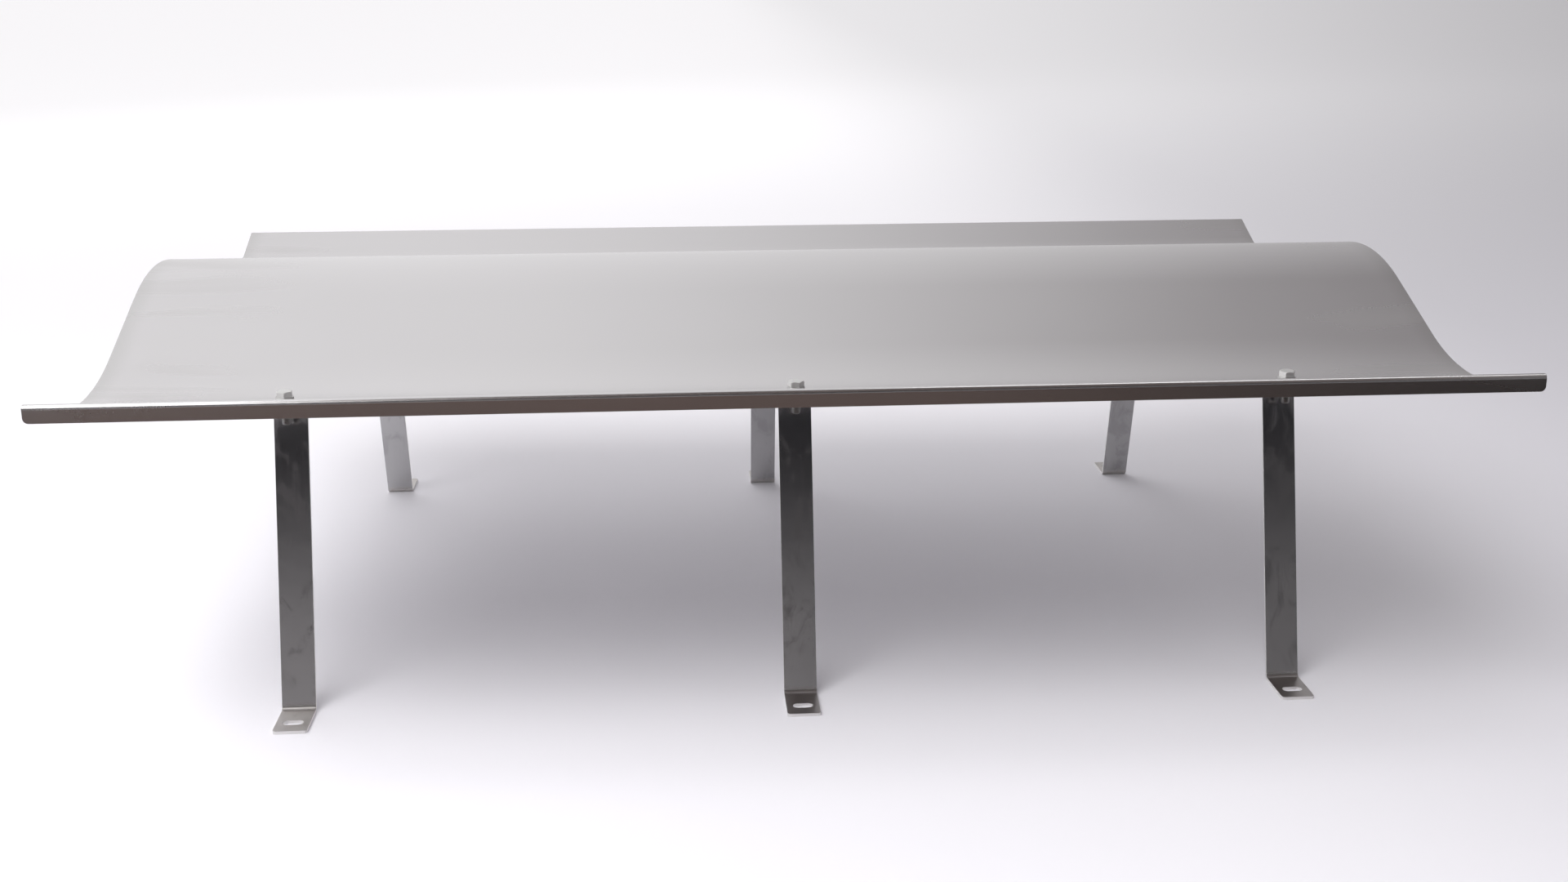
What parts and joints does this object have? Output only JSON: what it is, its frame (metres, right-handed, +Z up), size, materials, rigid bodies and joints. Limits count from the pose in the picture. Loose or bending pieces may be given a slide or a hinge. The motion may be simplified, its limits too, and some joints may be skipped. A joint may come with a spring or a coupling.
{
  "type": "wave slide",
  "caption": "Low wave-shaped slide of rolled stainless sheet with turned-down lips front and rear, bolted on leaning bent flat-bar legs with slotted feet.",
  "frame": {"origin": "on the floor, under the middle of the sheet", "axes": "+X along the crests, +Y from the front lip to the rear lip, +Z up"},
  "size_m": [1.25, 0.84, 0.3499],
  "materials": {
    "sheet_steel": "satin mill finish",
    "leg_steel": "dull grey satin with handling marks",
    "fastener_steel": "bright plain",
    "washer_steel": "bright plain"
  },
  "bodies": {
    "root": {"wave_sheet": "sheet_steel", "leg_front_left": "leg_steel", "bolt_front_left": "fastener_steel", "head_washer_front_left": "washer_steel", "nut_washer_front_left": "washer_steel", "nut_front_left": "fastener_steel", "leg_front_middle": "leg_steel", "bolt_front_middle": "fastener_steel", "head_washer_front_middle": "washer_steel", "nut_washer_front_middle": "washer_steel", "nut_front_middle": "fastener_steel", "leg_front_right": "leg_steel", "bolt_front_right": "fastener_steel", "head_washer_front_right": "washer_steel", "nut_washer_front_right": "washer_steel", "nut_front_right": "fastener_steel", "leg_rear_left": "leg_steel", "bolt_rear_left": "fastener_steel", "head_washer_rear_left": "washer_steel", "nut_washer_rear_left": "washer_steel", "nut_rear_left": "fastener_steel", "leg_rear_middle": "leg_steel", "bolt_rear_middle": "fastener_steel", "head_washer_rear_middle": "washer_steel", "nut_washer_rear_middle": "washer_steel", "nut_rear_middle": "fastener_steel", "leg_rear_right": "leg_steel", "bolt_rear_right": "fastener_steel", "head_washer_rear_right": "washer_steel", "nut_washer_rear_right": "washer_steel", "nut_rear_right": "fastener_steel"}
  },
  "joints": []
}
